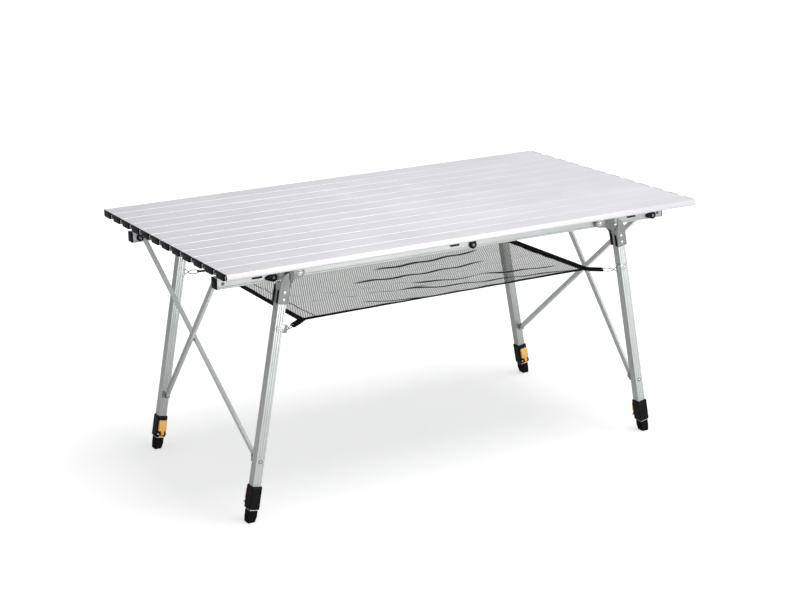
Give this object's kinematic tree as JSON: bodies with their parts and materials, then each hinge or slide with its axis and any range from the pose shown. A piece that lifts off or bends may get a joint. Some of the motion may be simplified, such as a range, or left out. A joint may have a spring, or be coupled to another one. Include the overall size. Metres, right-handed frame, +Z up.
{
  "type": "folding camp table",
  "caption": "Roll-top aluminium camp table with an umbrella-folding frame, telescopic splayed legs, cross braces and a net shelf.",
  "frame": {"origin": "on the floor, under the middle of the top", "axes": "+X along the slats to the right, -Y to the front, +Z up"},
  "size_m": [1.2, 0.6718, 0.58],
  "materials": {
    "satin_aluminium": "satin, fine brushed along the slats",
    "anodised_aluminium": "satin anodised",
    "grey_pressed_steel": "satin grey",
    "black_nylon": "fine grain",
    "orange_nylon": "smooth",
    "black_rubber": "ribbed",
    "grey_net": "fine polyester net"
  },
  "bodies": {
    "back_frame": {"back_rail": "anodised_aluminium", "net_shelf": "grey_net"},
    "front_frame": {"front_rail": "anodised_aluminium"},
    "leg_front_right": {"bracket_front_right": "grey_pressed_steel", "leg_front_right": "anodised_aluminium", "clamp_front_right": "black_nylon"},
    "inner_leg_front_right": {"inner_leg_front_right": "anodised_aluminium", "foot_front_right": "black_rubber"},
    "lever_front_right": {"clamp_lever_front_right": "orange_nylon"},
    "leg_front_left": {"bracket_front_left": "grey_pressed_steel", "leg_front_left": "anodised_aluminium", "clamp_front_left": "black_nylon"},
    "inner_leg_front_left": {"inner_leg_front_left": "anodised_aluminium", "foot_front_left": "black_rubber"},
    "lever_front_left": {"clamp_lever_front_left": "orange_nylon"},
    "leg_back_right": {"bracket_back_right": "grey_pressed_steel", "leg_back_right": "anodised_aluminium", "clamp_back_right": "black_nylon"},
    "inner_leg_back_right": {"inner_leg_back_right": "anodised_aluminium", "foot_back_right": "black_rubber"},
    "lever_back_right": {"clamp_lever_back_right": "orange_nylon"},
    "leg_back_left": {"bracket_back_left": "grey_pressed_steel", "leg_back_left": "anodised_aluminium", "clamp_back_left": "black_nylon"},
    "inner_leg_back_left": {"inner_leg_back_left": "anodised_aluminium", "foot_back_left": "black_rubber"},
    "lever_back_left": {"clamp_lever_back_left": "orange_nylon"},
    "rail_swivel_front_right": {"rail_swivel_front_right": "black_nylon"},
    "brace_front_right": {"brace_front_right": "anodised_aluminium"},
    "leg_swivel_front_right": {"leg_swivel_front_right": "black_nylon"},
    "rail_swivel_front_left": {"rail_swivel_front_left": "black_nylon"},
    "brace_front_left": {"brace_front_left": "anodised_aluminium"},
    "leg_swivel_front_left": {"leg_swivel_front_left": "black_nylon"},
    "rail_swivel_back_right": {"rail_swivel_back_right": "black_nylon"},
    "brace_back_right": {"brace_back_right": "anodised_aluminium"},
    "leg_swivel_back_right": {"leg_swivel_back_right": "black_nylon"},
    "rail_swivel_back_left": {"rail_swivel_back_left": "black_nylon"},
    "brace_back_left": {"brace_back_left": "anodised_aluminium"},
    "leg_swivel_back_left": {"leg_swivel_back_left": "black_nylon"},
    "top_back": {"slat_01": "satin_aluminium", "cross_bar_1": "anodised_aluminium", "cross_bar_2": "anodised_aluminium", "cross_bar_3": "anodised_aluminium"},
    "slat_02": {"slat_02": "satin_aluminium"},
    "slat_03": {"slat_03": "satin_aluminium"},
    "slat_04": {"slat_04": "satin_aluminium"},
    "slat_05": {"slat_05": "satin_aluminium"},
    "slat_06": {"slat_06": "satin_aluminium"},
    "slat_07": {"slat_07": "satin_aluminium"},
    "slat_08": {"slat_08": "satin_aluminium"},
    "slat_09": {"slat_09": "satin_aluminium"},
    "slat_10": {"slat_10": "satin_aluminium"},
    "slat_11": {"slat_11": "satin_aluminium"},
    "slat_12": {"slat_12": "satin_aluminium"},
    "latch_front_left": {"latch_front_left": "black_nylon"},
    "latch_front_middle": {"latch_front_middle": "black_nylon"},
    "latch_front_right": {"latch_front_right": "black_nylon"},
    "latch_back_right": {"latch_back_right": "black_nylon"},
    "latch_back_middle": {"latch_back_middle": "black_nylon"},
    "latch_back_left": {"latch_back_left": "black_nylon"}
  },
  "joints": [
    {"name": "frame_close", "type": "slide", "parent": "back_frame", "child": "front_frame", "axis": [0, 1, 0], "range_m": [0, 0.34], "deforming": ["net_shelf"]},
    {"name": "leg_fold_front_right", "type": "hinge", "parent": "front_frame", "child": "leg_front_right", "pos_m": [0.39, -0.2553, 0.5345], "axis": [0, 1, 0], "range_deg": [0, 76.65]},
    {"name": "leg_extend_front_right", "type": "slide", "parent": "leg_front_right", "child": "inner_leg_front_right", "axis": [-0.1822, 0, 0.9833], "range_m": [-0.12, 0]},
    {"name": "lever_open_front_right", "type": "hinge", "parent": "leg_front_right", "child": "lever_front_right", "pos_m": [0.52266, -0.2373, 0.03989], "axis": [0.9833, 0, 0.1822], "range_deg": [-105, 0]},
    {"name": "leg_fold_front_left", "type": "hinge", "parent": "front_frame", "child": "leg_front_left", "pos_m": [-0.39, -0.2553, 0.5345], "axis": [0, -1, 0], "range_deg": [0, 97.02]},
    {"name": "leg_extend_front_left", "type": "slide", "parent": "leg_front_left", "child": "inner_leg_front_left", "axis": [0.1822, 0, 0.9833], "range_m": [-0.12, 0]},
    {"name": "lever_open_front_left", "type": "hinge", "parent": "leg_front_left", "child": "lever_front_left", "pos_m": [-0.52266, -0.2373, 0.03989], "axis": [0.9833, 0, -0.1822], "range_deg": [-105, 0]},
    {"name": "leg_fold_back_right", "type": "hinge", "parent": "back_frame", "child": "leg_back_right", "pos_m": [0.39, 0.2553, 0.5345], "axis": [0, 1, 0], "range_deg": [0, 76.65]},
    {"name": "leg_extend_back_right", "type": "slide", "parent": "leg_back_right", "child": "inner_leg_back_right", "axis": [-0.1822, 0, 0.9833], "range_m": [-0.12, 0]},
    {"name": "lever_open_back_right", "type": "hinge", "parent": "leg_back_right", "child": "lever_back_right", "pos_m": [0.52266, 0.2373, 0.03989], "axis": [-0.9833, 0, -0.1822], "range_deg": [-105, 0]},
    {"name": "leg_fold_back_left", "type": "hinge", "parent": "back_frame", "child": "leg_back_left", "pos_m": [-0.39, 0.2553, 0.5345], "axis": [0, -1, 0], "range_deg": [0, 97.02]},
    {"name": "leg_extend_back_left", "type": "slide", "parent": "leg_back_left", "child": "inner_leg_back_left", "axis": [0.1822, 0, 0.9833], "range_m": [-0.12, 0]},
    {"name": "lever_open_back_left", "type": "hinge", "parent": "leg_back_left", "child": "lever_back_left", "pos_m": [-0.52266, 0.2373, 0.03989], "axis": [-0.9833, 0, 0.1822], "range_deg": [-105, 0]},
    {"name": "rail_swivel_turn_front_right", "type": "hinge", "parent": "back_frame", "child": "rail_swivel_front_right", "pos_m": [0.56, 0.2047, 0.5345], "axis": [0, 1, 0], "range_deg": [0, 61.21]},
    {"name": "brace_fold_front_right", "type": "hinge", "parent": "rail_swivel_front_right", "child": "brace_front_right", "pos_m": [0.56, 0.2047, 0.5345], "axis": [0.9905, 0, -0.1373], "range_deg": [0, 41.21]},
    {"name": "leg_swivel_turn_front_right", "type": "hinge", "parent": "brace_front_right", "child": "leg_swivel_front_right", "pos_m": [0.5048, -0.2277, 0.13625], "axis": [-0.9905, 0, 0.1373], "range_deg": [0, 41.21]},
    {"name": "rail_swivel_turn_front_left", "type": "hinge", "parent": "back_frame", "child": "rail_swivel_front_left", "pos_m": [-0.56, 0.2047, 0.5345], "axis": [0, -1, 0], "range_deg": [0, 75.15]},
    {"name": "brace_fold_front_left", "type": "hinge", "parent": "rail_swivel_front_left", "child": "brace_front_left", "pos_m": [-0.56, 0.2047, 0.5345], "axis": [0.9905, 0, 0.1373], "range_deg": [0, 41.21]},
    {"name": "leg_swivel_turn_front_left", "type": "hinge", "parent": "brace_front_left", "child": "leg_swivel_front_left", "pos_m": [-0.5048, -0.2277, 0.13625], "axis": [-0.9905, 0, -0.1373], "range_deg": [0, 41.21]},
    {"name": "rail_swivel_turn_back_right", "type": "hinge", "parent": "front_frame", "child": "rail_swivel_back_right", "pos_m": [0.56, -0.2047, 0.5345], "axis": [0, 1, 0], "range_deg": [0, 61.21]},
    {"name": "brace_fold_back_right", "type": "hinge", "parent": "rail_swivel_back_right", "child": "brace_back_right", "pos_m": [0.56, -0.2047, 0.5345], "axis": [-0.9905, 0, 0.1373], "range_deg": [0, 41.21]},
    {"name": "leg_swivel_turn_back_right", "type": "hinge", "parent": "brace_back_right", "child": "leg_swivel_back_right", "pos_m": [0.5048, 0.2277, 0.13625], "axis": [0.9905, 0, -0.1373], "range_deg": [0, 41.21]},
    {"name": "rail_swivel_turn_back_left", "type": "hinge", "parent": "front_frame", "child": "rail_swivel_back_left", "pos_m": [-0.56, -0.2047, 0.5345], "axis": [0, -1, 0], "range_deg": [0, 75.15]},
    {"name": "brace_fold_back_left", "type": "hinge", "parent": "rail_swivel_back_left", "child": "brace_back_left", "pos_m": [-0.56, -0.2047, 0.5345], "axis": [-0.9905, 0, -0.1373], "range_deg": [0, 41.21]},
    {"name": "leg_swivel_turn_back_left", "type": "hinge", "parent": "brace_back_left", "child": "leg_swivel_back_left", "pos_m": [-0.5048, 0.2277, 0.13625], "axis": [0.9905, 0, 0.1373], "range_deg": [0, 41.21]},
    {"name": "top_lift", "type": "slide", "parent": "back_frame", "child": "top_back", "axis": [0, 0, 1], "range_m": [0, 0.25]},
    {"name": "top_roll_02", "type": "hinge", "parent": "top_back", "child": "slat_02", "pos_m": [0, 0.28, 0.58], "axis": [-1, 0, 0], "range_deg": [0, 44.5]},
    {"name": "top_roll_03", "type": "hinge", "parent": "slat_02", "child": "slat_03", "pos_m": [0, 0.224, 0.58], "axis": [-1, 0, 0], "range_deg": [0, 44.77]},
    {"name": "top_roll_04", "type": "hinge", "parent": "slat_03", "child": "slat_04", "pos_m": [0, 0.168, 0.58], "axis": [-1, 0, 0], "range_deg": [0, 45.53]},
    {"name": "top_roll_05", "type": "hinge", "parent": "slat_04", "child": "slat_05", "pos_m": [0, 0.112, 0.58], "axis": [-1, 0, 0], "range_deg": [0, 46.8]},
    {"name": "top_roll_06", "type": "hinge", "parent": "slat_05", "child": "slat_06", "pos_m": [0, 0.056, 0.58], "axis": [-1, 0, 0], "range_deg": [0, 48.59]},
    {"name": "top_roll_07", "type": "hinge", "parent": "slat_06", "child": "slat_07", "pos_m": [0, 0, 0.58], "axis": [-1, 0, 0], "range_deg": [0, 50.88]},
    {"name": "top_roll_08", "type": "hinge", "parent": "slat_07", "child": "slat_08", "pos_m": [0, -0.056, 0.58], "axis": [-1, 0, 0], "range_deg": [0, 53.69]},
    {"name": "top_roll_09", "type": "hinge", "parent": "slat_08", "child": "slat_09", "pos_m": [0, -0.112, 0.58], "axis": [-1, 0, 0], "range_deg": [0, 57.01]},
    {"name": "top_roll_10", "type": "hinge", "parent": "slat_09", "child": "slat_10", "pos_m": [0, -0.168, 0.58], "axis": [-1, 0, 0], "range_deg": [0, 60.83]},
    {"name": "top_roll_11", "type": "hinge", "parent": "slat_10", "child": "slat_11", "pos_m": [0, -0.224, 0.58], "axis": [-1, 0, 0], "range_deg": [0, 65.17]},
    {"name": "top_roll_12", "type": "hinge", "parent": "slat_11", "child": "slat_12", "pos_m": [0, -0.28, 0.58], "axis": [-1, 0, 0], "range_deg": [0, 70.01]},
    {"name": "latch_front_left_turn", "type": "hinge", "parent": "front_frame", "child": "latch_front_left", "pos_m": [-0.449, -0.2403, 0.531], "axis": [0, 1, 0], "range_deg": [0, 90]},
    {"name": "latch_front_middle_turn", "type": "hinge", "parent": "front_frame", "child": "latch_front_middle", "pos_m": [0.0465, -0.2403, 0.531], "axis": [0, 1, 0], "range_deg": [-90, 0]},
    {"name": "latch_front_right_turn", "type": "hinge", "parent": "front_frame", "child": "latch_front_right", "pos_m": [0.547, -0.2403, 0.531], "axis": [0, 1, 0], "range_deg": [0, 90]},
    {"name": "latch_back_right_turn", "type": "hinge", "parent": "back_frame", "child": "latch_back_right", "pos_m": [0.449, 0.2403, 0.531], "axis": [0, -1, 0], "range_deg": [0, 90]},
    {"name": "latch_back_middle_turn", "type": "hinge", "parent": "back_frame", "child": "latch_back_middle", "pos_m": [-0.0465, 0.2403, 0.531], "axis": [0, -1, 0], "range_deg": [-90, 0]},
    {"name": "latch_back_left_turn", "type": "hinge", "parent": "back_frame", "child": "latch_back_left", "pos_m": [-0.547, 0.2403, 0.531], "axis": [0, -1, 0], "range_deg": [0, 90]}
  ],
  "couplings": [
    {"joint": "leg_fold_front_right", "follows": "frame_close", "rad_per_m": 3.9342},
    {"joint": "leg_fold_front_left", "follows": "frame_close", "rad_per_m": 4.98},
    {"joint": "leg_fold_back_right", "follows": "frame_close", "rad_per_m": 3.9342},
    {"joint": "leg_fold_back_left", "follows": "frame_close", "rad_per_m": 4.98},
    {"joint": "rail_swivel_turn_front_right", "follows": "frame_close", "rad_per_m": 3.1416},
    {"joint": "brace_fold_front_right", "follows": "frame_close", "rad_per_m": 2.115},
    {"joint": "leg_swivel_turn_front_right", "follows": "frame_close", "rad_per_m": 2.115},
    {"joint": "rail_swivel_turn_front_left", "follows": "frame_close", "rad_per_m": 3.8572},
    {"joint": "brace_fold_front_left", "follows": "frame_close", "rad_per_m": 2.115},
    {"joint": "leg_swivel_turn_front_left", "follows": "frame_close", "rad_per_m": 2.115},
    {"joint": "rail_swivel_turn_back_right", "follows": "frame_close", "rad_per_m": 3.1416},
    {"joint": "brace_fold_back_right", "follows": "frame_close", "rad_per_m": 2.115},
    {"joint": "leg_swivel_turn_back_right", "follows": "frame_close", "rad_per_m": 2.115},
    {"joint": "rail_swivel_turn_back_left", "follows": "frame_close", "rad_per_m": 3.8572},
    {"joint": "brace_fold_back_left", "follows": "frame_close", "rad_per_m": 2.115},
    {"joint": "leg_swivel_turn_back_left", "follows": "frame_close", "rad_per_m": 2.115},
    {"joint": "top_roll_03", "follows": "top_roll_02", "ratio": 1.0057},
    {"joint": "top_roll_04", "follows": "top_roll_02", "ratio": 1.0229},
    {"joint": "top_roll_05", "follows": "top_roll_02", "ratio": 1.0516},
    {"joint": "top_roll_06", "follows": "top_roll_02", "ratio": 1.0917},
    {"joint": "top_roll_07", "follows": "top_roll_02", "ratio": 1.1433},
    {"joint": "top_roll_08", "follows": "top_roll_02", "ratio": 1.2063},
    {"joint": "top_roll_09", "follows": "top_roll_02", "ratio": 1.2808},
    {"joint": "top_roll_10", "follows": "top_roll_02", "ratio": 1.3667},
    {"joint": "top_roll_11", "follows": "top_roll_02", "ratio": 1.4642},
    {"joint": "top_roll_12", "follows": "top_roll_02", "ratio": 1.573}
  ]
}
